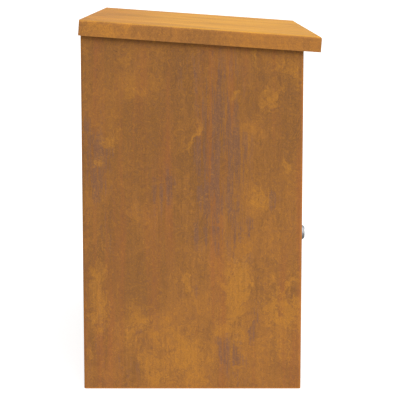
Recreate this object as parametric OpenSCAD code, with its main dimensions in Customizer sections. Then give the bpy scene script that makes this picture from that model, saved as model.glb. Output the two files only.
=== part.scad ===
// Letter box for a wall or a shelf, folded and welded from weathering steel sheet.
// Millimetres, +Z up. The front faces -Y and X runs across the width.
// The origin is the middle of the whole box's footprint, on the surface that it stands on.
// The lid lifts about a pin hinge along its back edge. The door swings on two upright pins at +X
// and is held by a cam lock near its -X edge, stored unlocked with the cam hanging down.

/* [Case] */
// Outside width of the folded case
case_w = 412; // [320:1:520]
// Outside depth of the case
case_d = 220; // [170:1:300]
// Height of the lid's top at its back edge
total_h = 373.5; // [300:0.5:480]
// Thickness of the case, lid and door sheet
sheet_t = 1.5; // [1:0.1:2.5]
// Inside radius of the sheet's bends
bend_r = 1.2; // [0.8:0.1:3]
// Width of the front face left on each side of the door opening
stile_w = 24; // [20:1:40]
// How far the opening's edges are folded into the case
jamb_d = 14; // [13:0.5:24]
// Height of the door opening's lower edge
sill_h = 30; // [20:1:60]
// Height of the door opening's upper edge
opening_top = 270; // [200:1:290]
// Height of the base pan's upturned edges
pan_up = 18; // [10:1:19]
// Diameter of the drain holes in the base
drain_dia = 6; // [4:0.5:10]

/* [Wall fixing] */
// Diameter of the four screw holes in the back
wall_hole_dia = 7; // [5:0.5:10]
// Distance between the holes across the width
wall_hole_x = 300; // [160:5:360]
// Distance between the holes up the height
wall_hole_z = 220; // [120:5:240]
// Height of the lower pair of holes
wall_hole_low = 70; // [50:5:90]

/* [Lid] */
// Slope of the lid, down towards the front
lid_slope = 4; // [2:0.5:8]
// Depth of the lid's folded edges
lid_edge = 15.5; // [12:0.5:30]
// How far the lid stands out past the front of the case
lid_front = 17.5; // [8:0.5:30]
// How far the lid's top stands out past the back of the case
lid_back = 0.8; // [0.5:0.1:2]
// Gap between the lid's side edges and the case
lid_side_gap = 2.5; // [1.5:0.1:5]
// Gap between the side walls' upper edges and the lid
lid_seat_gap = 1.5; // [1:0.1:3]

/* [Lid hinge] */
// Length of the lid's hinge
hinge_w = 377; // [250:1:380]
// Number of knuckles, an odd number
knuckles = 13; // [9, 11, 13, 15]
// Outside radius of the knuckles
knuckle_r = 3.2; // [2.8:0.1:4]
// Radius of the hinge pin
hinge_pin_r = 1.4; // [1:0.1:1.6]
// Thickness of the hinge leaves
leaf_t = 1.2; // [0.8:0.1:1.4]
// Width of each leaf, measured from the pin's axis
leaf_l = 24; // [18:1:30]

/* [Letter inlet] */
// Height of the inlet plate above the base
plate_z = 322; // [300:1:325]
// Height of the plate's folded edges
plate_lip = 12; // [8:1:14]
// Length of the letter slot across the width
slot_w = 340; // [240:1:350]
// Width of the letter slot, front to back
slot_d = 60; // [35:1:80]
// Distance from the case's front to the slot
slot_in = 25; // [20:1:50]
// Length of the sloping deflector under the slot
deflector_l = 52; // [30:1:60]
// Slope of the deflector
deflector_slope = 40; // [30:1:60]

/* [Door] */
// Depth of the door's folded edges
door_edge = 12; // [11.5:0.5:13]
// Gap round the door, apart from its hinge side
door_gap = 2; // [1.5:0.1:3]
// Gap on the door's hinge side
door_hinge_gap = 3; // [2.8:0.1:5]
// Distance of the door's pins from its edge and from its face
door_pin_in = 6; // [5:0.1:6.2]
// Radius of the door's pins
door_pin_r = 2.5; // [2:0.1:3]
// Height of the door's stop tabs above and below its middle
stop_z = 85; // [40:1:90]

/* [Lock] */
// Distance of the lock's axis from the door's free edge
lock_in = 20; // [16:1:40]
// Height of the lock's axis
lock_z = 153; // [120:1:180]
// Radius of the lock's head
head_r = 9; // [9:0.1:12]
// Height of the lock's head above the door
head_h = 5.3; // [4:0.1:8]
// Radius of the lock's barrel
barrel_r = 8; // [7:0.1:8.5]
// Radius of the turning plug
plug_r = 5; // [4:0.1:5.5]
// Reach of the cam from the lock's axis
cam_l = 31; // [29:1:34]
// Width of the cam
cam_w = 14; // [12:0.5:16]
// Thickness of the cam
cam_t = 2; // [1.5:0.1:3]

/* [Fits] */
// Running clearance between a pin or plug and its hole
running = 0.05; // [0.03:0.01:0.1]
// Gap left between two welded sheets that meet edge to edge
weld_gap = 0.1; // [0.05:0.05:0.3]
// Gap beside moving knuckles, washers and buffers
slack = 0.3; // [0.2:0.05:0.5]

/* [Hidden] */
$fn = 48;
bend_steps = 5;
outer_r = bend_r + sheet_t;
far = 1000;

// Lid: its length along the slope, and where its back top edge lies
lid_w = case_w + 2 * (lid_side_gap + sheet_t);
lid_l = (case_d + lid_front + lid_back) / cos(lid_slope);
lid_y = (lid_l * cos(lid_slope) - (lid_edge + outer_r) * sin(lid_slope)) / 2;

// Case: the planes of its back and front, and the inside of its side walls
back_y = lid_y - lid_back;
front_y = back_y - case_d;
inner_x = case_w / 2 - sheet_t - weld_gap;
jamb_x = case_w / 2 - stile_w;

// Lid hinge: its axis in the lid's own frame and in the box's
axis_drop = knuckle_r + slack;
axis_z_in_lid = -sheet_t - axis_drop;
axis_y = back_y - sheet_t - knuckle_r;
axis_y_in_lid = (axis_y - lid_y + axis_z_in_lid * sin(lid_slope)) / cos(lid_slope);
axis_z = total_h + axis_y_in_lid * sin(lid_slope) + axis_z_in_lid * cos(lid_slope);
pitch = hinge_w / knuckles;
// The lid's back edge sweeps this far round the axis, and the back wall stops below it
lid_sweep = norm([axis_y_in_lid, axis_z_in_lid]);
back_top = axis_z - lid_sweep - slack;

// Height of the lid's underside above the case's front face
lid_under_front = total_h - (lid_y - front_y) * tan(lid_slope) - sheet_t / cos(lid_slope);
header_drop = 2.5;
header_top = lid_under_front - header_drop;
buffer_r = 5;
buffer_y = front_y + jamb_d / 2;
buffer_inset = 30;
buffer_h = lid_under_front + (jamb_d / 2 - buffer_r) * tan(lid_slope) - header_top - slack;

// Door: its edges, its middle and its pins' axis
door_x0 = -jamb_x + door_gap;
door_x1 = jamb_x - door_hinge_gap;
door_z0 = sill_h + door_gap;
door_z1 = opening_top - door_gap;
door_mid = [(door_x0 + door_x1) / 2, (door_z0 + door_z1) / 2];
pin_x = door_x1 - door_pin_in;
pin_y = front_y + door_pin_in;
pin_head_r = 4.5;
pin_head_h = 2;
// The heads are cut flat this far in front of their axis, where their flange bends into the front face
pin_head_flat = door_pin_in - sheet_t - bend_r;
pin_spare = 3;
washer_r = 5;
washer_t = door_gap - slack;

// Stop tabs behind the jamb at the door's free edge
stop_w = 22;
stop_reach = 12;
stop_leg = 8;
stop_buffer_r = 4;
stop_buffer_h = jamb_d - door_edge - slack;

// Lock: distances behind the door's face
lock_x = door_x0 + lock_in;
cam_front = jamb_d + 2 * slack;
barrel_short = 1;
barrel_l = cam_front - barrel_short;
barrel_flat_cut = 1;
barrel_flats = 2 * (barrel_r - barrel_flat_cut);
tail_flat_cut = 1.5;
tail_flats = 2 * (plug_r - tail_flat_cut);
head_rim = 1.5;
head_bulge = 30;
nose_rim = 1.2;
nose_r = plug_r + nose_rim;
nut_af = 22;
nut_t = 3.5;
key_w = 1.6;
key_l = 7;
key_deep = 6;
cam_boss_r = 8;
screw_r = 2;
screw_l = 8;
screw_head_r = 3.8;
screw_head_h = 2.4;
cam_washer_r = 5.5;
cam_washer_t = 1;

rust = [0.62, 0.4, 0.2];
rust_dark = [0.45, 0.29, 0.17];
bare_steel = [0.55, 0.54, 0.52];
chrome = [0.8, 0.8, 0.8];
black_rubber = [0.08, 0.08, 0.08];

// Folded sheet: p runs along the face on the left of its direction, and the sheet lies on its right
function unit(v) = v / norm(v);
function right_of(v) = [v[1], -v[0]];
function turned(v, a) = [v[0] * cos(a) - v[1] * sin(a), v[0] * sin(a) + v[1] * cos(a)];
function leg(p, i) = unit(p[i + 1] - p[i]);
function is_end(p, i) = i == 0 || i == len(p) - 1;
function bend_side(p, i) = sign(cross(leg(p, i - 1), leg(p, i)));
function other_corner(p, i, t) =
    i == 0 ? p[0] + t * right_of(leg(p, 0)) :
    i == len(p) - 1 ? p[i] + t * right_of(leg(p, i - 1)) :
    let (a = right_of(leg(p, i - 1)), b = right_of(leg(p, i)))
    p[i] + t * (a + b) / (1 + a * b);
// The arc that rounds corner i of the path p, with radius r
function arc(p, i, r) =
    let (
        u = -leg(p, i - 1),
        w = leg(p, i),
        half = acos(u * w) / 2,
        centre = p[i] + unit(u + w) * r / sin(half),
        start = p[i] + u * r / tan(half) - centre,
        sweep = (180 - 2 * half) * bend_side(p, i)
    )
    [for (k = [0:bend_steps]) centre + turned(start, sweep * k / bend_steps)];
// The path p with each corner rounded: right_r where it turns right and left_r where it turns left
function rounded(p, right_r, left_r) = [
    for (i = [0:len(p) - 1])
        let (r = is_end(p, i) ? 0 : bend_side(p, i) < 0 ? right_r : left_r)
        each (r > 0 ? arc(p, i, r) : [p[i]])
];
function backwards(p) = [for (i = [len(p) - 1:-1:0]) p[i]];

module folded(p) {
    q = [for (i = [0:len(p) - 1]) other_corner(p, i, sheet_t)];
    near = rounded(p, outer_r, bend_r);
    away = rounded(q, bend_r, outer_r);
    polygon(concat(near, backwards(away)));
}

// A profile drawn in Y and Z, extruded across the width from -half to half
module across(half) {
    translate([-half, 0, 0]) rotate([90, 0, 90]) linear_extrude(2 * half) children();
}

// A profile drawn in X and Z, extruded from y0 to y1
module along(y0, y1) {
    translate([0, y1, 0]) rotate([90, 0, 0]) linear_extrude(y1 - y0) children();
}

module both_sides() {
    children();
    mirror([1, 0, 0]) children();
}

// Square relief cut from a folded sheet's corners, which clears the case's bends at the depth y
module corner_relief(y) {
    both_sides() translate([inner_x - outer_r, y - outer_r, -far / 2]) cube([far, 2 * outer_r, far]);
}

// A block under z = 0 whose upper edges are rounded by r. Its edge at y1 is rounded by back_r.
module eased_block(w, y0, y1, h, r, back_r) {
    ends = [[-w / 2, -h], [-w / 2, 0], [w / 2, 0], [w / 2, -h]];
    sides = [[y0, -h], [y0, 0], [y1, 0], [y1, -h]];
    side_line = back_r > 0 ? rounded(sides, r, r) : concat([sides[0]], arc(sides, 1, r), [sides[2], sides[3]]);
    intersection() {
        along(y0 - 1, y1 + 1) polygon(rounded(ends, r, r));
        across(w / 2 + 1) polygon(side_line);
    }
}

// From the lid's own frame, whose origin is the middle of its back top edge
module in_lid_frame() {
    translate([0, lid_y, total_h]) rotate([lid_slope, 0, 0]) children();
}

// A bar round the lid's hinge axis, across knuckle i or wider by extra at each end
module knuckle(i, r, extra) {
    translate([-hinge_w / 2 + i * pitch - extra, 0, 0])
        rotate([0, 90, 0]) cylinder(r = r, h = pitch - slack + 2 * extra);
}

module hinge_bore() {
    rotate([0, 90, 0]) cylinder(r = hinge_pin_r + running, h = 2 * far, center = true);
}

// From the lock's frame: +Z points out of the door, and the door's face is at 0
module in_lock_frame() {
    translate([lock_x, front_y, lock_z]) rotate([90, 0, 0]) children();
}

// A disc with two flats
module flatted(r, flats) {
    intersection() {
        circle(r);
        square([flats, 2 * r + 1], center = true);
    }
}

module case_wrap() {
    // The jambs' feet are notched past their bends, over the base pan
    jamb_foot = sheet_t + weld_gap;
    notch_w = 1 + sheet_t + bend_r;
    outline = [
        [-jamb_x, front_y + jamb_d], [-jamb_x, front_y], [-case_w / 2, front_y], [-case_w / 2, back_y],
        [case_w / 2, back_y], [case_w / 2, front_y], [jamb_x, front_y], [jamb_x, front_y + jamb_d]
    ];
    color(rust) difference() {
        linear_extrude(total_h) folded(outline);
        in_lid_frame() translate([-far / 2, -far / 2, -sheet_t - lid_seat_gap]) cube([far, far, far]);
        translate([-far / 2, axis_y, back_top]) cube([far, far, far]);
        both_sides() translate([jamb_x - 1, front_y + sheet_t, -1])
            cube([notch_w, jamb_d, jamb_foot + 1]);
        for (x = [-wall_hole_x / 2, wall_hole_x / 2], z = [wall_hole_low, wall_hole_low + wall_hole_z])
            translate([x, back_y, z]) rotate([90, 0, 0])
                cylinder(d = wall_hole_dia, h = 4 * sheet_t, center = true);
    }
}

module base_pan() {
    rear_y = back_y - sheet_t - weld_gap;
    tray_y0 = front_y + sheet_t + weld_gap;
    lap = 20;
    color(rust) difference() {
        union() {
            across(jamb_x - weld_gap) folded([
                [front_y + 2 * lap, 0], [front_y, 0], [front_y, sill_h], [front_y + jamb_d, sill_h]
            ]);
            across(inner_x) folded([[rear_y, pan_up], [rear_y, 0], [tray_y0, 0]]);
            both_sides() along(tray_y0, rear_y - outer_r)
                folded([[-inner_x + lap, 0], [-inner_x, 0], [-inner_x, pan_up]]);
        }
        corner_relief(tray_y0);
        corner_relief(rear_y);
        translate([pin_x, pin_y, sill_h]) cylinder(r = door_pin_r + running, h = 4 * sheet_t, center = true);
        for (x = [-jamb_x / 2, jamb_x / 2], y = [front_y + case_d / 4, back_y - case_d / 4])
            translate([x, y, 0]) cylinder(d = drain_dia, h = 4 * sheet_t, center = true);
    }
}

module header() {
    color(rust) difference() {
        across(jamb_x - weld_gap) folded([
            [front_y + jamb_d, opening_top], [front_y, opening_top],
            [front_y, header_top], [front_y + jamb_d, header_top]
        ]);
        translate([pin_x, pin_y, opening_top])
            cylinder(r = door_pin_r + running, h = 4 * sheet_t, center = true);
    }
}

module inlet_plate() {
    front_in = front_y + sheet_t + weld_gap;
    rear_in = back_y - 2 * sheet_t - weld_gap;
    slot_y0 = front_y + slot_in;
    slot_y1 = slot_y0 + slot_d;
    lap = 15;
    color(rust_dark) {
        difference() {
            union() {
                across(inner_x) folded([
                    [rear_in, plate_z - plate_lip], [rear_in, plate_z],
                    [front_in, plate_z], [front_in, plate_z + plate_lip]
                ]);
                both_sides() along(front_in, rear_in - outer_r) folded([
                    [-inner_x, plate_z - plate_lip], [-inner_x, plate_z + sheet_t],
                    [-inner_x + lap, plate_z + sheet_t]
                ]);
            }
            corner_relief(back_y - sheet_t - weld_gap);
            both_sides() translate([jamb_x - 2 * weld_gap, front_y, plate_z - far / 2])
                cube([far, jamb_d + 1, far]);
            translate([-slot_w / 2, slot_y0, plate_z - 1]) cube([slot_w, slot_d, sheet_t + 2]);
        }
        across(slot_w / 2 - 2) folded([
            [slot_y1 + lap, plate_z], [slot_y1, plate_z],
            [slot_y1 - deflector_l * cos(deflector_slope), plate_z - deflector_l * sin(deflector_slope)]
        ]);
    }
}

// Two folded tabs on the inside of the jamb, which stop the door at its closed place
module door_stops() {
    // The leg stands off the jamb by its own bend, or by the sheet where that is more
    leg_x = -jamb_x - sheet_t - weld_gap - max(sheet_t, bend_r);
    rear_y = front_y + jamb_d + weld_gap;
    color(rust_dark) for (z = [door_mid[1] - stop_z, door_mid[1] + stop_z])
        translate([0, 0, z - stop_w / 2]) linear_extrude(stop_w) folded([
            [-jamb_x + stop_reach, rear_y], [leg_x, rear_y], [leg_x, rear_y - stop_leg]
        ]);
}

module door_buffers() {
    rear_y = front_y + jamb_d + weld_gap;
    color(black_rubber) for (z = [door_mid[1] - stop_z, door_mid[1] + stop_z])
        translate([-jamb_x + stop_reach - stop_buffer_r - 1, rear_y, z])
            rotate([90, 0, 0]) cylinder(r = stop_buffer_r, h = stop_buffer_h);
}

module lid_buffers() {
    color(black_rubber) both_sides() translate([jamb_x - buffer_inset, buffer_y, header_top])
        cylinder(r = buffer_r, h = buffer_h);
}

module lid() {
    color(rust) in_lid_frame() difference() {
        eased_block(lid_w, -lid_l, 0, lid_edge, outer_r, 0);
        translate([0, 0, -sheet_t])
            eased_block(lid_w - 2 * sheet_t, -lid_l + sheet_t, far / 100, lid_edge, bend_r, 0);
    }
}

module lid_leaf_fixed() {
    color(bare_steel) translate([0, axis_y, axis_z]) difference() {
        union() {
            translate([-hinge_w / 2, knuckle_r - leaf_t, -leaf_l]) cube([hinge_w - slack, leaf_t, leaf_l]);
            for (i = [0:2:knuckles - 1]) knuckle(i, knuckle_r, 0);
        }
        for (i = [1:2:knuckles - 1]) knuckle(i, knuckle_r + slack, slack);
        hinge_bore();
    }
}

module lid_leaf_moving() {
    color(bare_steel) in_lid_frame() translate([0, axis_y_in_lid, axis_z_in_lid]) difference() {
        union() {
            translate([-hinge_w / 2, -leaf_l, axis_drop - leaf_t]) cube([hinge_w - slack, leaf_l, leaf_t]);
            for (i = [1:2:knuckles - 1]) knuckle(i, knuckle_r, 0);
        }
        for (i = [0:2:knuckles - 1]) knuckle(i, knuckle_r + slack, slack);
        hinge_bore();
    }
}

module lid_hinge_pin() {
    color(bare_steel) translate([0, axis_y, axis_z]) rotate([0, 90, 0])
        cylinder(r = hinge_pin_r, h = hinge_w + 2, center = true);
}

module door() {
    w = door_x1 - door_x0;
    h = door_z1 - door_z0;
    color(rust) difference() {
        translate([door_mid[0], front_y, door_mid[1]]) rotate([90, 0, 0]) difference() {
            eased_block(w, -h / 2, h / 2, door_edge, outer_r, outer_r);
            translate([0, 0, -sheet_t]) eased_block(
                w - 2 * sheet_t, -h / 2 + sheet_t, h / 2 - sheet_t, door_edge, bend_r, bend_r);
        }
        for (z = [door_z0, door_z1]) translate([pin_x, pin_y, z])
            cylinder(r = door_pin_r + running, h = 4 * sheet_t, center = true);
        in_lock_frame() translate([0, 0, -sheet_t - 1]) linear_extrude(sheet_t + 2)
            flatted(barrel_r + running, barrel_flats + 2 * running);
    }
}

// A headed pin that points down from z = 0, with its head above, cut flat towards the front
module headed_pin(reach) {
    translate([0, 0, -reach]) cylinder(r = door_pin_r, h = reach + pin_head_h / 2);
    intersection() {
        cylinder(r = pin_head_r, h = pin_head_h);
        translate([-far / 2, -pin_head_flat, -1]) cube([far, far, pin_head_h + 2]);
    }
}

module door_pin_upper() {
    color(bare_steel) translate([pin_x, pin_y, opening_top + sheet_t])
        headed_pin(2 * sheet_t + door_gap + pin_spare);
}

module door_pin_lower() {
    color(bare_steel) translate([pin_x, pin_y, sill_h - sheet_t]) mirror([0, 0, 1])
        headed_pin(2 * sheet_t + door_gap + pin_spare);
}

module door_washer() {
    difference() {
        cylinder(r = washer_r, h = washer_t);
        translate([0, 0, -1]) cylinder(r = door_pin_r + running, h = washer_t + 2);
    }
}

module door_washer_upper() {
    color(bare_steel) translate([pin_x, pin_y, door_z1]) door_washer();
}

module door_washer_lower() {
    color(bare_steel) translate([pin_x, pin_y, sill_h]) door_washer();
}

module lock_housing() {
    // A shallow arc from the rim up to the nose
    dome = [for (t = [0:0.125:1]) [
        head_r + (nose_r - head_r) * t,
        head_rim + (head_h - head_rim) * sin(head_bulge * t) / sin(head_bulge)
    ]];
    color(chrome) in_lock_frame() difference() {
        union() {
            rotate_extrude() polygon(concat([[0, 0], [head_r, 0]], dome, [[0, head_h]]));
            translate([0, 0, -barrel_l]) linear_extrude(barrel_l + 1) flatted(barrel_r, barrel_flats);
        }
        translate([0, 0, -far / 2]) cylinder(r = plug_r + running, h = far);
    }
}

module lock_nut() {
    color(bare_steel) in_lock_frame() translate([0, 0, -sheet_t - nut_t]) difference() {
        rotate(30) cylinder(d = nut_af / cos(30), h = nut_t, $fn = 6);
        translate([0, 0, -1]) cylinder(r = barrel_r + running, h = nut_t + 2);
    }
}

module lock_plug() {
    tail_z = -cam_front - cam_t;
    color(chrome) in_lock_frame() difference() {
        union() {
            translate([0, 0, -barrel_l - slack]) cylinder(r = plug_r, h = barrel_l + slack + head_h + slack);
            translate([0, 0, tail_z]) linear_extrude(-tail_z) flatted(plug_r, tail_flats);
        }
        translate([-key_w / 2, -key_l / 2, head_h - key_deep]) cube([key_w, key_l, far]);
        translate([0, 0, tail_z - 1]) cylinder(r = screw_r + running, h = screw_l + 1);
    }
}

module lock_cam() {
    end_y = -cam_l + cam_w / 2;
    color(bare_steel) in_lock_frame() translate([0, 0, -cam_front - cam_t]) linear_extrude(cam_t)
        difference() {
            union() {
                circle(cam_boss_r);
                translate([-cam_w / 2, end_y]) square([cam_w, -end_y]);
                translate([0, end_y]) circle(cam_w / 2);
            }
            flatted(plug_r + running, tail_flats + 2 * running);
        }
}

module cam_washer() {
    color(bare_steel) in_lock_frame() translate([0, 0, -cam_front - cam_t - cam_washer_t]) difference() {
        cylinder(r = cam_washer_r, h = cam_washer_t);
        translate([0, 0, -1]) cylinder(r = screw_r + running, h = cam_washer_t + 2);
    }
}

module cam_screw() {
    head_z = -cam_front - cam_t - cam_washer_t;
    slot_z = head_z - screw_head_h;
    color(bare_steel) in_lock_frame() difference() {
        union() {
            translate([0, 0, head_z - screw_head_h / 2]) cylinder(r = screw_r, h = screw_l);
            translate([0, 0, slot_z]) cylinder(r = screw_head_r, h = screw_head_h);
        }
        for (a = [0, 90]) translate([0, 0, slot_z]) rotate(a)
            cube([2 * screw_head_r * 0.7, 0.8, screw_head_h], center = true);
    }
}

case_wrap();
base_pan();
header();
inlet_plate();
door_stops();
door_buffers();
lid_buffers();
lid();
lid_leaf_fixed();
lid_leaf_moving();
lid_hinge_pin();
door();
door_pin_upper();
door_pin_lower();
door_washer_upper();
door_washer_lower();
lock_housing();
lock_nut();
lock_plug();
lock_cam();
cam_washer();
cam_screw();
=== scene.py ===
"""Looks of a rusted steel letter box: a folded case and lid, a front door on pins and a chrome cam lock.
Metres, in the part's own frame: the front faces -Y, X runs across the width and +Z is up."""

import math
import random

import bmesh
import bpy
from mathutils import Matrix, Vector


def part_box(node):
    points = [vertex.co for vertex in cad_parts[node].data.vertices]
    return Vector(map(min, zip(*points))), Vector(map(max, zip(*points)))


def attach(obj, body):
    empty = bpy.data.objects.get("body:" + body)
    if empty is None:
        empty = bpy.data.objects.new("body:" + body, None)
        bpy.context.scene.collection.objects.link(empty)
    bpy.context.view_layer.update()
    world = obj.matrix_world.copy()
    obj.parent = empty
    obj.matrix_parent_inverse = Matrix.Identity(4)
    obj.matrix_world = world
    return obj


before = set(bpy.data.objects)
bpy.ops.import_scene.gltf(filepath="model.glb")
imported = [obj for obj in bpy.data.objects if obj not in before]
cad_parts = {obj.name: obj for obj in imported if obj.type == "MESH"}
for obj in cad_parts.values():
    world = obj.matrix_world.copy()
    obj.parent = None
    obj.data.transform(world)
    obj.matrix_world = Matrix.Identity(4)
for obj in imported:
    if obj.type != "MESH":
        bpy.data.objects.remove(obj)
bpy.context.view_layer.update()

MM = 0.001

# The camera looks along +X at the -X side, from just above the lid's height
CAMERA_PLACE = (-1.607, 0.0, 0.4253)
CAMERA_PITCH = 7.76
LENS = 128.0
SHIFT_Y = -0.10

# Even light from all around, and two broad lamps: where each shines from, its strength and its spread
WORLD_LIGHT = 0.55
LAMPS = {
    "key": ((-0.62, -0.3, 0.9), 2.2, 50),
    "fill": ((-0.25, -0.9, 0.35), 0.7, 70),
}

# Main places, all taken from the CAD nodes: lowest and highest corners, and single faces
CASE_LOW, CASE_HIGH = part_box("case_wrap")
LID_LOW, LID_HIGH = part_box("lid")
DOOR_LOW, DOOR_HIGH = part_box("door")
HEADER_LOW, HEADER_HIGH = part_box("header")
BARREL_LOW, BARREL_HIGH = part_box("lock_housing")
STOPS_LOW, STOPS_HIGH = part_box("door_stops")
SILL_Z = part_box("base_pan")[1][2]
PLATE_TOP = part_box("inlet_plate")[1][2]
NUT_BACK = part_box("lock_nut")[1][1]
PLUG_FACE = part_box("lock_plug")[0][1]
FIXED_LEAF_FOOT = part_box("lid_leaf_fixed")[0][2]
MOVING_LEAF_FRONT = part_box("lid_leaf_moving")[0][1]
OPENING_TOP = HEADER_LOW[2]
FRONT_Y = CASE_LOW[1]
BACK_Y = CASE_HIGH[1]
LOCK_MIDDLE = (BARREL_LOW + BARREL_HIGH) / 2

# Sizes that no box gives: the sheet and its folds, the gap at a weld, and the lock's flatted barrel
SHEET = 1.5 * MM
BEND = 1.2 * MM
LID_SLOPE = math.radians(4)
LID_EDGE = 15.5 * MM
PAN_EDGE = 18 * MM
JAMB_DEPTH = 14 * MM
PLATE_LIP = 12 * MM
WELD_GAP = 0.1 * MM
BARREL_R = 8 * MM
BARREL_FLAT_X = 7 * MM

ACROSS = Vector((1, 0, 0))
BACKWARD, FORWARD = Vector((0, 1, 0)), Vector((0, -1, 0))
UP, DOWN = Vector((0, 0, 1)), Vector((0, 0, -1))


def srgb(red, green, blue):
    """A linear RGBA colour from one written as 0 to 255."""
    parts = [c / 255 for c in (red, green, blue)]
    return tuple(c / 12.92 if c <= 0.04045 else ((c + 0.055) / 1.055) ** 2.4 for c in parts) + (1.0,)


RUST_MID = srgb(157, 104, 51)
RUST_BROWN = srgb(136, 91, 48)
RUST_LIGHT = srgb(175, 115, 48)
RUST_OCHRE = srgb(183, 123, 48)
RUST_PURPLE = srgb(124, 87, 65)
RUST_RED = srgb(160, 96, 52)
# Edge colour: partly worn rust, partly a painted edge highlight
RUST_EDGE = srgb(186, 116, 44)
# Painted top light: the lighter rust given to faces that look up
RUST_PAINTED_TOP_LIGHT = srgb(196, 142, 56)
# Painted shade: darker, browner rust for faces that look down or lie behind walls
RUST_SHADED_INSIDE = srgb(116, 72, 42)
RUST_DEEP_SHADE = srgb(82, 54, 40)
WHITE = (1.0, 1.0, 1.0, 1.0)


# Materials. A noise's scale is about how many of its lumps lie in a metre

class Net:
    """A material's node tree, with short calls for the nodes used here."""

    def __init__(self, name):
        self.material = bpy.data.materials.new(name)
        self.material.use_nodes = True
        self.tree = self.material.node_tree
        self.tree.nodes.clear()
        self.output = self.tree.nodes.new("ShaderNodeOutputMaterial")

    def put(self, socket, value):
        if isinstance(value, bpy.types.NodeSocket):
            self.tree.links.new(value, socket)
        else:
            socket.default_value = value

    def node(self, kind, inputs, **settings):
        made = self.tree.nodes.new("ShaderNode" + kind)
        for key, value in settings.items():
            setattr(made, key, value)
        for key, value in inputs.items():
            self.put(made.inputs[key], value)
        return made

    def place(self):
        """Where a point lies in the part's frame."""
        return self.node("TexCoord", {}).outputs["Object"]

    def normal(self):
        """Which way the surface faces in the part's frame."""
        return self.node("TexCoord", {}).outputs["Normal"]

    def component(self, vector, axis):
        """The X, Y or Z of a vector."""
        return self.node("SeparateXYZ", {0: vector}).outputs[axis]

    def length(self, vector):
        return self.node("VectorMath", {0: vector}, operation="LENGTH").outputs["Value"]

    def vector(self, operation, first, second):
        return self.node("VectorMath", {0: first, 1: second}, operation=operation).outputs[0]

    def math(self, operation, first, second=0.0):
        return self.node("Math", {0: first, 1: second}, operation=operation).outputs[0]

    def noise(self, place, scale, detail, rough):
        inputs = {"Vector": place, "Scale": scale, "Detail": detail, "Roughness": rough}
        return self.node("TexNoise", inputs)

    def cloud(self, place, scale, detail, rough):
        return self.noise(place, scale, detail, rough).outputs[0]

    def other_cloud(self, place, shift, scale, detail, rough):
        """A cloud unlike the others, because it is taken some metres away."""
        return self.cloud(self.vector("ADD", place, shift), scale, detail, rough)

    def step(self, value, low, high, least=0.0, most=1.0):
        """Runs smoothly from least to most as value goes from low to high."""
        inputs = {"Value": value, "From Min": low, "From Max": high, "To Min": least, "To Max": most}
        return self.node("MapRange", inputs, interpolation_type="SMOOTHSTEP").outputs[0]

    def blend(self, share, first, second):
        return self.node("Mix", {0: share, 6: first, 7: second}, data_type="RGBA").outputs[2]

    def shade(self, colour, gain):
        """The colour times gain, the same in each channel."""
        grey = self.node("CombineXYZ", {0: gain, 1: gain, 2: gain}).outputs[0]
        return self.vector("MULTIPLY", colour, grey)

    def total(self, *terms, base=0.0):
        """The base plus the sum of each value times its weight."""
        for value, weight in terms:
            inputs = {0: value, 1: weight, 2: base}
            base = self.node("Math", inputs, operation="MULTIPLY_ADD").outputs[0]
        return base

    def swing(self, *terms):
        """The sum of each value times its weight, moved so that values of 0.5 give 0."""
        return self.total(*terms, base=-0.5 * sum(weight for value, weight in terms))

    def bump(self, height, distance, strength):
        inputs = {"Height": height, "Distance": distance, "Strength": strength}
        return self.node("Bump", inputs).outputs[0]

    def surface(self, **inputs):
        """The finished material. The shader's inputs are given by name, such as base_color."""
        named = {key.replace("_", " ").title().replace("Ior", "IOR"): value for key, value in inputs.items()}
        shader = self.node("BsdfPrincipled", named)
        self.tree.links.new(shader.outputs[0], self.output.inputs["Surface"])
        return self.material


# Cloudy patches of the -X side: y and z of the middle, half width, half height (mm), and strength
PURPLE_PATCHES = [
    (-22, 262, 26, 84, 1.0),
    (-16, 186, 24, 52, 1.0),
    (-42, 150, 14, 44, 0.8),
    (103, 236, 15, 44, 1.3),
    (92, 168, 9, 30, 0.5),
    (-72, 192, 10, 18, 0.9),
    (-36, 32, 14, 30, 1.0),
    (-59, 75, 3.5, 30, 1.0),
    (-2, 322, 34, 20, 0.5),
    (66, 34, 9, 26, 0.6),
    (12, 96, 12, 24, 0.5),
    (100, 62, 7, 30, 0.6),
    (38, 206, 8, 30, 0.5),
]
BROWN_PATCHES = [
    (58, 262, 30, 46, 1.0),
    (68, 112, 34, 40, 1.2),
    (90, 320, 26, 26, 0.5),
    (98, 132, 10, 34, 0.6),
    (-56, 294, 15, 17, 0.8),
    (-76, 224, 16, 50, 0.5),
    (24, 312, 44, 26, 0.2),
    (82, 170, 22, 46, 1.0),
    (88, 236, 20, 40, 0.8),
    (52, 214, 28, 30, 0.9),
    (20, 252, 34, 44, 0.4),
    (-86, 20, 16, 26, 0.3),
    (36, 150, 32, 38, 0.6),
    (-22, 20, 8, 12, 0.4),
]
OCHRE_PATCHES = [
    (-40, 108, 20, 30, 1.0),
    (-84, 84, 20, 50, 0.9),
    (-62, 196, 12, 20, 0.8),
    (-33, 304, 8, 9, 0.9),
    (-71, 292, 5, 15, 0.6),
    (-90, 238, 6, 10, 0.8),
    (-58, 334, 4, 9, 0.9),
    (8, 258, 3, 18, 0.8),
    (88, 258, 14, 14, 0.7),
    (100, 232, 7, 16, 0.7),
    (14, 100, 6, 18, 0.8),
    (14, 36, 34, 40, 0.6),
    (102, 90, 10, 38, 0.8),
    (74, 336, 18, 12, 0.4),
    (60, 62, 18, 24, 0.6),
    (-88, 320, 14, 26, 0.6),
    (44, 20, 20, 18, 0.7),
    (62, 302, 14, 18, 0.5),
    (-78, 36, 16, 22, 0.7),
    (-34, 66, 26, 20, 0.6),
]


def on_patched_side(net, place):
    """1 on the case's -X side, fading to 0 behind it."""
    return net.step(net.component(place, "X"), CASE_LOW[0] + 6 * MM, CASE_LOW[0] + 3 * MM)


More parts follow.
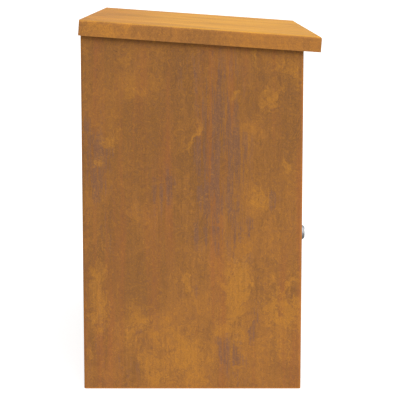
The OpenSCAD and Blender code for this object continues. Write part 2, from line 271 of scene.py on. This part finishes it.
def patch_mask(net, place, patches):
    """Rises to each patch's strength from its rim to its core, on the -X side alone.
    The rim and the core are given in the patch's own half sizes, and its depth along X is endless."""
    endless = 1e3
    rim, core = 1.6, 0.1
    total = 0.0
    for y, z, half_w, half_h, strength in patches:
        away = net.vector("SUBTRACT", place, (0, y * MM, z * MM))
        away = net.vector("DIVIDE", away, (endless, half_w * MM, half_h * MM))
        patch = net.step(net.length(away), rim, core, 0.0, strength)
        total = net.math("MAXIMUM", patch, total)
    return net.math("MULTIPLY", total, on_patched_side(net, place))


def face_distance(net, place, low, high, axes):
    """How far a point lies from the nearest of a box's faces across the given axes."""
    parts = net.node("SeparateXYZ", {0: place}).outputs
    near = 1.0
    for axis in axes:
        for face in (low[axis], high[axis]):
            away = net.math("ABSOLUTE", net.math("SUBTRACT", parts[axis], face))
            near = net.math("MINIMUM", near, away)
    return near


def edge_mask(net, place, low, high, width):
    """1 on the edges of the box from low to high, fading over width."""
    near = [net.step(face_distance(net, place, low, high, [axis]), width, 0.25 * width) for axis in range(3)]
    pairs = [net.math("MULTIPLY", near[i], near[j]) for i, j in ((0, 1), (1, 2), (0, 2))]
    return net.math("MAXIMUM", net.math("MAXIMUM", pairs[0], pairs[1]), pairs[2])


class Rust(Net):
    """Rust in soft, ragged clouds with fine grain, and with streaks along the axis that `along` shrinks."""

    def __init__(self, name, along, seed):
        super().__init__(name)
        self.here = self.place()
        self.moved = self.vector("ADD", self.here, (seed, 0.37 * seed, 0.71 * seed))
        wide = self.drift(22, 4, 0.6, (0.03, 0.05, 0.08))
        ragged = self.drift(170, 5, 0.75, (0.012, 0.012, 0.02))
        self.wobble = self.vector("ADD", wide, ragged)
        loose = self.vector("ADD", self.moved, self.wobble)
        self.soft = self.vector("MULTIPLY", loose, (1.0, 1.0, 0.6))
        self.stretched = self.vector("MULTIPLY", self.moved, along)
        self.fine_streak = self.cloud(self.stretched, 560, 4, 0.7)
        self.blotch = self.cloud(self.soft, 11, 6, 0.6)
        self.mottle = self.cloud(loose, 70, 8, 0.78)
        self.crinkle = self.cloud(loose, 360, 5, 0.75)
        self.grain = self.cloud(self.moved, 1300, 2, 0.6)
        self.broken = self.swing((self.mottle, 1.15), (self.crinkle, 0.7))
        self.drawn = self.swing((self.cloud(self.stretched, 150, 6, 0.68), 2.3), (self.fine_streak, 1.9))

    def drift(self, scale, detail, rough, reach):
        """A random shift, by about half of reach each way at most."""
        random_colour = self.noise(self.moved, scale, detail, rough).outputs[1]
        return self.vector("MULTIPLY", self.vector("SUBTRACT", random_colour, (0.5, 0.5, 0.5)), reach)

    def clouds(self):
        """Brown, mid and light rust in soft clouds."""
        tone = self.total((self.blotch, 0.7), (self.broken, 0.5), (self.drawn, 0.06), base=0.15)
        colour = self.blend(self.step(tone, 0.40, 0.56), RUST_BROWN, RUST_MID)
        return self.blend(self.step(tone, 0.52, 0.72, 0.0, 0.9), colour, RUST_LIGHT)

    def stains(self, patches, dull):
        """How purple, ochre and brown each point is: in random clouds and, with patches, in set places."""
        purple = self.other_cloud(self.soft, (3.1, 0, 0), 9, 4, 0.5)
        purple = self.step(purple, 0.47, 0.66, 0.0, dull)
        ochre = self.other_cloud(self.soft, (0, 7.3, 0), 15, 7, 0.64)
        ochre = self.step(ochre, 0.49, 0.67, 0.0, 0.45 + 0.45 * dull)
        if not patches:
            return purple, ochre, 0.0
        placed = self.vector("ADD", self.here, self.wobble)
        share = self.total((on_patched_side(self, self.here), -0.75), base=1.0)
        purple = self.total((purple, share), base=patch_mask(self, placed, PURPLE_PATCHES))
        ochre = self.total((ochre, share), base=patch_mask(self, placed, OCHRE_PATCHES))
        brown = self.total((self.broken, 0.3), base=patch_mask(self, placed, BROWN_PATCHES))
        return purple, ochre, self.step(brown, 0.0, 1.0, 0.0, 0.85)

    def stained(self, colour, patches, dull):
        """The colour under brown, red, purple and ochre stains, and how purple each point is."""
        purple, ochre, brown = self.stains(patches, dull)
        colour = self.blend(brown, colour, RUST_BROWN)
        red = self.other_cloud(self.stretched, (0, 0, 5.7), 60, 5, 0.65)
        colour = self.blend(self.step(red, 0.46, 0.66, 0.0, 0.65), colour, RUST_RED)
        streaked = self.math("MULTIPLY", purple, self.step(self.drawn, -0.4, 0.4, 0.0, 1.7))
        tone = self.total((self.broken, 0.3), base=streaked)
        colour = self.blend(self.step(tone, 0.3, 0.9, 0.0, 0.85), colour, RUST_PURPLE)
        tone = self.total((self.broken, 1.8), (self.drawn, 0.2), base=ochre)
        return self.blend(self.step(tone, 0.26, 0.96, 0.0, 0.72), colour, RUST_OCHRE), purple

    def flecked(self, colour, dull):
        """The colour with small ochre and purple flecks."""
        fleck = self.other_cloud(self.soft, (0, 0, 4.4), 520, 4, 0.75)
        colour = self.blend(self.step(fleck, 0.5, 0.66, 0.0, 0.6), colour, RUST_OCHRE)
        return self.blend(self.step(fleck, 0.5, 0.34, 0.0, 0.5 * dull), colour, RUST_PURPLE)

    def painted_shade(self, colour, share):
        """Painted shade: darker, browner rust where share picks it out."""
        tone = self.total((self.blotch, 1.2), (self.broken, 0.9), (self.drawn, 0.2), base=-0.6)
        shade = self.blend(self.step(tone, -0.3, 0.3), RUST_DEEP_SHADE, RUST_SHADED_INSIDE)
        share = self.math("MULTIPLY", share, self.step(self.broken, -0.3, 0.3, 0.9, 0.7))
        return self.blend(share, colour, shade)

    def painted_top_light(self, colour, sky):
        """Painted light: lighter where the surface faces up at rest, in the rust's own streaks, and less so
        towards the back.
        """
        upward = self.step(self.component(self.normal(), "Z"), 0.5, 0.75, 0.0, sky)
        broad_streak = self.cloud(self.vector("MULTIPLY", self.stretched, (1.0, 3.0, 1.0)), 34, 5, 0.62)
        tone = self.total((self.drawn, 0.3), (self.blotch, 0.8), (broad_streak, 1.8), base=-1.3)
        share = self.math("MULTIPLY", upward, self.step(tone, -0.35, 0.3, 0.5, 1.1))
        front = self.step(self.component(self.here, "Y"), BACK_Y, 0.0, 0.4, 1.0)
        share = self.math("MINIMUM", self.math("MULTIPLY", share, front), 1.0)
        return self.blend(share, colour, RUST_PAINTED_TOP_LIGHT)

    def speckle(self, purple):
        """A gain near 1 that follows grain, crinkles and pits, and fine streaks, most of all in purple."""
        pits = self.step(self.other_cloud(self.moved, (0, 2.9, 0), 420, 2, 0.5), 0.72, 0.78)
        streaky = self.step(self.fine_streak, 0.3, 0.7, -1.0, 1.0)
        streaky = self.math("MULTIPLY", streaky, self.step(purple, 0.0, 0.5, 0.03, 0.08))
        grainy = self.step(self.grain, 0.25, 0.75, -0.11, 0.11)
        crinkly = self.step(self.crinkle, 0.3, 0.7, -0.07, 0.07)
        return self.total((grainy, 1.0), (crinkly, 1.0), (streaky, 1.0), (pits, -0.35), base=1.0)

    def painted_bounce_gain(self):
        """A gain that makes the case lighter towards its foot, and most at the front: partly the rust's own
        tone, partly painted light bounced up from the floor.
        """
        height = self.total((self.component(self.here, "Y"), 0.5), base=self.component(self.here, "Z"))
        return self.step(height, 0.0, 0.4, 1.12, 1.015)

    def finished(self, colour):
        """The material in this colour, matt and slightly rough to the touch."""
        rough = self.step(self.mottle, 0.3, 0.7, 0.72, 0.88)
        height = self.total((self.grain, 0.5), base=self.crinkle)
        normal = self.bump(height, 0.1 * MM, 0.5)
        return self.surface(base_color=colour, roughness=rough, normal=normal, specular_ior_level=0.2)


def rust(name, seed=0.0, along=(1.0, 1.0, 0.05), gain=1.0, dull=1.0, patches=False, box=None, shell=None,
         sky=0.0):
    """Rust whose streaks run along the axis that `along` shrinks.

    gain is its brightness, and dull scales the purple and part of the ochre.
    patches gives the case's -X side its set clouds, and the case its own gain, lighter towards the foot:
    partly the rust's own tone, partly painted bounce light from the floor.
    box gets lighter orange edges, partly wear and partly a painted edge highlight.
    shell is a box and the axes across its walls: what lies behind those walls gets painted shade, darker and
    browner.
    sky paints light on what faces up, and with it painted shade on what faces down."""
    net = Rust(name, along, seed)
    colour, purple = net.stained(net.clouds(), patches, dull)
    colour = net.flecked(colour, dull)
    if sky:
        # Painted light on faces that look up at rest
        colour = net.painted_top_light(colour, sky)
        # Painted shade on faces that look down at rest
        colour = net.painted_shade(colour, net.step(net.component(net.normal(), "Z"), -0.5, -0.9, 0.0, 0.8))
    if box:
        # Lighter orange edges: partly wear, partly a painted edge highlight
        worn = net.math("MULTIPLY", edge_mask(net, net.here, *box, 2.0 * MM), 0.75)
        colour = net.blend(worn, colour, RUST_EDGE)
    if shell:
        # Painted shade on what lies behind the shell's walls
        behind = net.step(face_distance(net, net.here, *shell), 0.7 * MM, 1.3 * MM)
        colour = net.painted_shade(colour, behind)
    if patches:
        # The case's gain: partly its own tone, partly painted bounce light
        gain = net.painted_bounce_gain()
    return net.finished(net.shade(colour, net.math("MULTIPLY", net.speckle(purple), gain)))


def worn_zinc(name):
    """Dull zinc-coated steel, stained by the rust around it."""
    net = Net(name)
    here = net.place()
    cloud = net.cloud(here, 90, 6, 0.65)
    fine = net.cloud(here, 700, 3, 0.6)
    rusty = net.step(net.total((fine, 0.25), base=cloud), 0.5, 0.78)
    zinc = net.blend(net.step(fine, 0.3, 0.7), srgb(112, 104, 93), srgb(132, 123, 111))
    colour = net.blend(rusty, zinc, srgb(122, 78, 44))
    metal = net.step(rusty, 0.2, 0.8, 0.7, 0.1)
    rough = net.step(rusty, 0.0, 1.0, 0.5, 0.8)
    normal = net.bump(cloud, 0.1 * MM, 0.4)
    return net.surface(base_color=colour, metallic=metal, roughness=rough, normal=normal)


def chrome(name):
    """Weathered chrome: dirt in clouds, darker in a ring at its foot, and a painted dark reflection over its
    lower side.
    """
    net = Net(name)
    here = net.place()
    haze = net.cloud(here, 260, 5, 0.6)
    fine = net.cloud(here, 1500, 3, 0.6)
    off_axis = net.vector("MULTIPLY", net.vector("SUBTRACT", here, tuple(LOCK_MIDDLE)), (1, 0, 1))
    # Painted dark reflection over the dome's lower side; darker also in a ring at its foot and in dirty
    # clouds
    below = net.step(net.component(off_axis, "Z"), 5 * MM, -6 * MM)
    rim = net.step(net.length(off_axis), 5 * MM, 6.8 * MM)
    painted_dark_lower_rim = net.math("MULTIPLY", below, rim)
    foot = net.step(net.component(here, "Y"), FRONT_Y - 2.6 * MM, FRONT_Y - 0.6 * MM)
    grime_and_dark_reflection = net.total((painted_dark_lower_rim, 0.95), (foot, 0.5), (haze, 1.2), base=-0.6)
    grime_and_dark_reflection = net.step(grime_and_dark_reflection, 0.1, 1.0)
    bright = net.blend(net.step(haze, 0.4, 0.7), srgb(172, 174, 178), srgb(132, 133, 135))
    colour = net.blend(net.math("MULTIPLY", grime_and_dark_reflection, 0.92), bright, srgb(74, 72, 70))
    rough = net.math("ADD", net.step(grime_and_dark_reflection, 0.0, 1.0, 0.16, 0.42), net.step(fine, 0.3, 0.7, -0.04, 0.06))
    normal = net.bump(haze, 0.02 * MM, 0.3)
    return net.surface(base_color=colour, metallic=0.9, roughness=rough, normal=normal)


def rubber(name):
    """Black rubber with fine grain and some dust."""
    net = Net(name)
    here = net.place()
    grain = net.cloud(here, 1400, 3, 0.6)
    dusty = net.step(net.cloud(here, 220, 4, 0.6), 0.45, 0.75, 0.0, 0.5)
    colour = net.blend(dusty, srgb(30, 29, 28), srgb(74, 62, 50))
    return net.surface(base_color=colour, roughness=0.8, normal=net.bump(grain, 0.05 * MM, 0.5))


# Streaks run down the upright sheets, and from front to back on the flat ones
FRONT_TO_BACK = (1.0, 0.05, 1.0)
CASE_EDGES = (CASE_LOW, Vector((CASE_HIGH[0], CASE_HIGH[1], LID_HIGH[2])))
# Shells whose inner faces get painted shade
CASE_SHELL = (CASE_LOW, CASE_HIGH, [0, 1])
DOOR_SHELL = (DOOR_LOW, DOOR_HIGH, [0, 1, 2])
FRONT_SHELL = (Vector((0, FRONT_Y, 0)), Vector((0, FRONT_Y, 0)), [1])
LOOKS = {
    "case_wrap": rust("rust_case", patches=True, box=CASE_EDGES, shell=CASE_SHELL),
    "base_pan": rust("rust_base", seed=2.3, gain=0.97, shell=FRONT_SHELL),
    "header": rust("rust_header", seed=3.9, shell=FRONT_SHELL),
    "door": rust("rust_door", seed=5.2, box=(DOOR_LOW, DOOR_HIGH), shell=DOOR_SHELL),
    # Painted light: the lid's rust is a lighter copy (gain 1.21), and its top gets painted top light
    "lid": rust("rust_lid", seed=7.7, along=FRONT_TO_BACK, gain=1.21, dull=0.3, sky=0.88),
    "inlet_plate": rust("rust_inlet", seed=9.4, along=(1.0, 0.1, 1.0), gain=0.7),
    "door_stops": rust("rust_stops", seed=11.0, gain=0.7),
}
WELD = rust("rust_weld", seed=13.1, along=(1.0, 1.0, 1.0), gain=0.62)
ZINC = worn_zinc("worn_zinc")
CHROME = chrome("lock_chrome")
RUBBER = rubber("black_rubber")
for name in ("lid_leaf_fixed", "lid_leaf_moving", "lid_hinge_pin", "door_pin_upper", "door_pin_lower",
             "door_washer_upper", "door_washer_lower", "lock_nut", "lock_cam", "cam_washer", "cam_screw"):
    LOOKS[name] = ZINC
for name in ("lock_housing", "lock_plug"):
    LOOKS[name] = CHROME
for name in ("door_buffers", "lid_buffers"):
    LOOKS[name] = RUBBER


def dress(name, material):
    """Gives a CAD node its material and a narrow eased edge, which is wider on the rusted sheets."""
    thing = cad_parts[name]
    thing.data.materials.clear()
    thing.data.materials.append(material)
    bevel = thing.modifiers.new("eased", "BEVEL")
    bevel.width = 0.35 * MM if material.name.startswith("rust") else 0.2 * MM
    bevel.segments = 2
    bevel.limit_method = "ANGLE"
    bevel.angle_limit = math.radians(40)


for name, material in LOOKS.items():
    dress(name, material)


# Details: stitch welds where the sheets join, the lock's thread and the shutter behind its keyway

STITCH = 20 * MM
SMALL_LEG = 1.2 * MM
SIDE_STITCHES_Y = (-60 * MM, 10 * MM, 80 * MM)
CROSS_STITCHES_X = (-120 * MM, 0, 120 * MM)
HINGE_STITCHES_X = (-150 * MM, -50 * MM, 50 * MM, 150 * MM)
random.seed(11)


def link_mesh(name, bm, material, body):
    """Turns a bmesh into a smooth piece that rides on a body."""
    bmesh.ops.recalc_face_normals(bm, faces=bm.faces)
    mesh = bpy.data.meshes.new(name)
    bm.to_mesh(mesh)
    bm.free()
    mesh.polygons.foreach_set("use_smooth", [True] * len(mesh.polygons))
    mesh.materials.append(material)
    piece = bpy.data.objects.new(name, mesh)
    bpy.context.collection.objects.link(piece)
    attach(piece, body)


def skin_rings(bm, rings):
    """Joins rings of as many points each with quads, and closes both ends."""
    loops = [[bm.verts.new(point) for point in ring] for ring in rings]
    count = len(loops[0])
    for one, two in zip(loops, loops[1:]):
        for k in range(count):
            bm.faces.new((one[k], one[(k + 1) % count], two[(k + 1) % count], two[k]))
    bm.faces.new(loops[0][::-1])
    bm.faces.new(loops[-1])


def weld_bead(bm, middle, along, length, wall_a, wall_b, leg=1.5 * MM):
    """A rippled fillet weld with rounded ends, in the corner where two walls meet.
    wall_a and wall_b run along the walls from the corner, and leg is how far the weld reaches up each."""
    ripple_pitch = 1.5 * MM
    ring_pitch = 0.3 * MM
    arc_steps = 6
    count = round(length / ring_pitch)
    phase = random.random() * ripple_pitch
    sunk = -0.12 * MM * (wall_a + wall_b)
    rings = []
    for i in range(count + 1):
        run = i * length / count
        to_end = min(run, length - run)
        taper = math.sqrt(1 - (1 - min(1, (to_end + 0.1 * MM) / (1.2 * leg))) ** 2)
        ripple = 0.86 + 0.14 * abs(math.sin(math.pi * (run + phase) / ripple_pitch)) ** 0.6
        reach = leg * taper * ripple * random.uniform(0.96, 1.04)
        centre = middle + along * (run - length / 2)
        ring = [centre + sunk]
        for k in range(arc_steps + 1):
            angle = math.pi / 2 * k / arc_steps
            ring.append(centre + (wall_a * math.cos(angle) + wall_b * math.sin(angle)) * reach)
        rings.append(ring)
    skin_rings(bm, rings)


def case_welds():
    """Stitches where the pan, header, inlet plate, fixed leaf and door stops meet the case."""
    bm = bmesh.new()
    wall_x = CASE_HIGH[0] - SHEET
    wall_y = BACK_Y - SHEET
    web_y = FRONT_Y + SHEET
    jamb_x = HEADER_HIGH[0] + WELD_GAP
    # The inlet plate's front lip turns up, and its other lips turn down
    lip_foot = PLATE_TOP - 2 * PLATE_LIP
    jamb_runs = (
        (0.25 * SILL_Z, 0.75 * SILL_Z),
        (OPENING_TOP + 0.5 * STITCH, OPENING_TOP + 1.5 * STITCH),
        (PLATE_TOP, HEADER_HIGH[2] - SHEET),
    )
    for side in (-1, 1):
        inward = Vector((-side, 0, 0))
        for y in SIDE_STITCHES_Y:
            weld_bead(bm, Vector((side * wall_x, y, PAN_EDGE)), BACKWARD, STITCH, UP, inward)
            weld_bead(bm, Vector((side * wall_x, y, lip_foot)), BACKWARD, STITCH, DOWN, inward)
        for low, high in jamb_runs:
            corner = Vector((side * jamb_x, web_y, (low + high) / 2))
            weld_bead(bm, corner, UP, high - low, inward, BACKWARD)
    for x in CROSS_STITCHES_X:
        weld_bead(bm, Vector((x, wall_y, PAN_EDGE)), ACROSS, STITCH, UP, FORWARD)
        weld_bead(bm, Vector((x, wall_y, lip_foot)), ACROSS, STITCH, DOWN, FORWARD)
        weld_bead(bm, Vector((x, web_y, PLATE_TOP)), ACROSS, STITCH, UP, BACKWARD)
    for x in HINGE_STITCHES_X:
        weld_bead(bm, Vector((x, wall_y, FIXED_LEAF_FOOT)), ACROSS, STITCH, DOWN, FORWARD, SMALL_LEG)
    half_stop = 11 * MM
    stop_weld = 14 * MM
    for stop_z in (STOPS_LOW[2] + half_stop, STOPS_HIGH[2] - half_stop):
        corner = Vector((-jamb_x, FRONT_Y + JAMB_DEPTH, stop_z))
        weld_bead(bm, corner, UP, stop_weld, ACROSS, FORWARD, SMALL_LEG)
    link_mesh("case_welds", bm, WELD, "case")


def lid_welds():
    """Stitches along the moving leaf's front edge, and a bead in each front corner of the lid."""
    bm = bmesh.new()
    back = Vector((0, LID_HIGH[1] - LID_EDGE * math.sin(LID_SLOPE), LID_HIGH[2]))
    down = Vector((0, math.sin(LID_SLOPE), -math.cos(LID_SLOPE)))
    ahead = Vector((0, -math.cos(LID_SLOPE), -math.sin(LID_SLOPE)))
    leaf_run = (back.y - MOVING_LEAF_FRONT) / math.cos(LID_SLOPE)
    for x in HINGE_STITCHES_X:
        middle = back + ACROSS * x + ahead * leaf_run + down * SHEET
        weld_bead(bm, middle, ACROSS, STITCH, ahead, down, SMALL_LEG)
    length = LID_EDGE - SHEET - BEND
    front_run = (back.y - LID_LOW[1]) / math.cos(LID_SLOPE) - SHEET
    for side in (-1, 1):
        inner_x = side * (LID_HIGH[0] - SHEET)
        corner = back + ACROSS * inner_x + ahead * front_run + down * (LID_EDGE - length / 2)
        weld_bead(bm, corner, down, length, ACROSS * -side, -ahead)
    link_mesh("lid_welds", bm, WELD, "lid")


def door_welds():
    """A bead in each corner of the door's folded edges."""
    bm = bmesh.new()
    length = DOOR_HIGH[1] - DOOR_LOW[1] - SHEET - 2 * BEND
    y = DOOR_HIGH[1] - length / 2
    for x, inward in ((DOOR_LOW[0] + SHEET, ACROSS), (DOOR_HIGH[0] - SHEET, -ACROSS)):
        for z, up in ((DOOR_LOW[2] + SHEET, UP), (DOOR_HIGH[2] - SHEET, DOWN)):
            weld_bead(bm, Vector((x, y, z)), BACKWARD, length, inward, up, leg=1.4 * MM)
    link_mesh("door_welds", bm, WELD, "door")


def barrel_thread():
    """A fine ridge wound round the lock's barrel behind the nut, and cut off at the barrel's two flats."""
    bm = bmesh.new()
    ridge = 0.28 * MM
    root = -0.15 * MM
    pitch = 1.0 * MM
    sides = 72
    start = NUT_BACK + 0.6 * MM
    turns = (BARREL_HIGH[1] - 0.5 * MM - start) / pitch
    count = round(turns * sides)
    flat = BARREL_FLAT_X - 0.04 * MM
    rings = []
    for i in range(count + 1):
        angle = 2 * math.pi * i / sides
        y = start + pitch * i / sides
        out = Vector((math.cos(angle), 0, math.sin(angle)))
        crest = ridge * min(1, i / sides * 4, (count - i) / sides * 4)
        ring = []
        for reach, shift in ((root, -0.42), (crest, -0.1), (crest, 0.1), (root, 0.42)):
            point = out * (BARREL_R + reach)
            point.x = max(-flat, min(flat, point.x))
            ring.append(Vector((LOCK_MIDDLE.x, y + shift * pitch, LOCK_MIDDLE.z)) + point)
        rings.append(ring)
    skin_rings(bm, rings)
    link_mesh("barrel_thread", bm, CHROME, "door")


def key_shutter():
    """The sprung shutter that closes the keyway, a little behind the plug's face, with a worn dimple."""
    bm = bmesh.new()
    half_w, half_h, depth = 0.74 * MM, 3.4 * MM, 1.4 * MM
    thick, eased = 1.2 * MM, 0.1 * MM
    profile = [(-1, thick), (-1, eased), (-0.7, 0), (0.7, 0), (1, eased), (1, thick)]
    rows = 24
    rings = []
    for i in range(rows + 1):
        t = 2 * i / rows - 1
        dimple = 0.5 * MM * math.exp(-(t / 0.35) ** 2)
        face_y = PLUG_FACE + depth + dimple
        z = LOCK_MIDDLE.z + half_h * t
        rings.append([Vector((LOCK_MIDDLE.x + half_w * u, face_y + v, z)) for u, v in profile])
    skin_rings(bm, rings)
    link_mesh("key_shutter", bm, ZINC, "lock")


case_welds()
lid_welds()
door_welds()
barrel_thread()
key_shutter()


# Stage: a pale floor, soft light and the camera

def seen_directly(nodes, links):
    """1 for a ray from the camera, from a mirror-like surface or through glass.
    It is 0 for the light that falls on the object."""
    rays = nodes.new("ShaderNodeLightPath")
    either = rays.outputs["Is Camera Ray"]
    for other in ("Is Glossy Ray", "Is Transmission Ray"):
        larger = nodes.new("ShaderNodeMath")
        larger.operation = "MAXIMUM"
        links.new(either, larger.inputs[0])
        links.new(rays.outputs[other], larger.inputs[1])
        either = larger.outputs[0]
    return either


def stage_material(pale=0.45, glow=0.76):
    """A pale floor that shows white where it is seen, apart from the object's shadow."""
    net = Net("stage_white")
    shown = net.math("MULTIPLY", seen_directly(net.tree.nodes, net.tree.links), glow)
    return net.surface(base_color=(pale, pale, pale, 1.0), roughness=1.0, specular_ior_level=0.0,
                       emission_color=WHITE, emission_strength=shown)


def make_floor(half=30.0, drop=0.2 * MM):
    """A square floor, just below the box so that their faces don't meet."""
    corners = [(-half, -half, 0), (half, -half, 0), (half, half, 0), (-half, half, 0)]
    mesh = bpy.data.meshes.new("floor")
    mesh.from_pydata(corners, [], [(0, 1, 2, 3)])
    mesh.materials.append(stage_material())
    floor = bpy.data.objects.new("floor", mesh)
    floor.location.z = -drop
    bpy.context.collection.objects.link(floor)


def make_lamp(name, direction, strength, spread):
    """A broad soft lamp whose light comes from the given direction."""
    lamp = bpy.data.lights.new(name, "SUN")
    lamp.energy = strength
    lamp.angle = math.radians(spread)
    holder = bpy.data.objects.new(name, lamp)
    holder.location = direction
    holder.rotation_euler = Vector(direction).to_track_quat("Z", "Y").to_euler()
    bpy.context.collection.objects.link(holder)


def make_world(light):
    """Even pale light on the object, and plain white where it is seen."""
    world = bpy.data.worlds.new("studio")
    bpy.context.scene.world = world
    world.use_nodes = True
    nodes, links = world.node_tree.nodes, world.node_tree.links
    back = nodes["Background"]
    strength = nodes.new("ShaderNodeMapRange")
    strength.inputs["To Min"].default_value = light
    strength.inputs["To Max"].default_value = 1.0
    links.new(seen_directly(nodes, links), strength.inputs["Value"])
    links.new(strength.outputs[0], back.inputs["Strength"])
    back.inputs["Color"].default_value = WHITE


def make_camera():
    data = bpy.data.cameras.new("camera")
    data.lens = LENS
    data.shift_y = SHIFT_Y
    data.clip_end = 50
    camera = bpy.data.objects.new("camera", data)
    camera.location = CAMERA_PLACE
    camera.rotation_euler = (math.radians(90 - CAMERA_PITCH), 0, math.radians(-90))
    bpy.context.collection.objects.link(camera)
    bpy.context.scene.camera = camera


make_floor()
make_world(WORLD_LIGHT)
for name, (direction, strength, spread) in LAMPS.items():
    make_lamp(name, direction, strength, spread)
make_camera()
bpy.context.scene.view_settings.view_transform = "Standard"
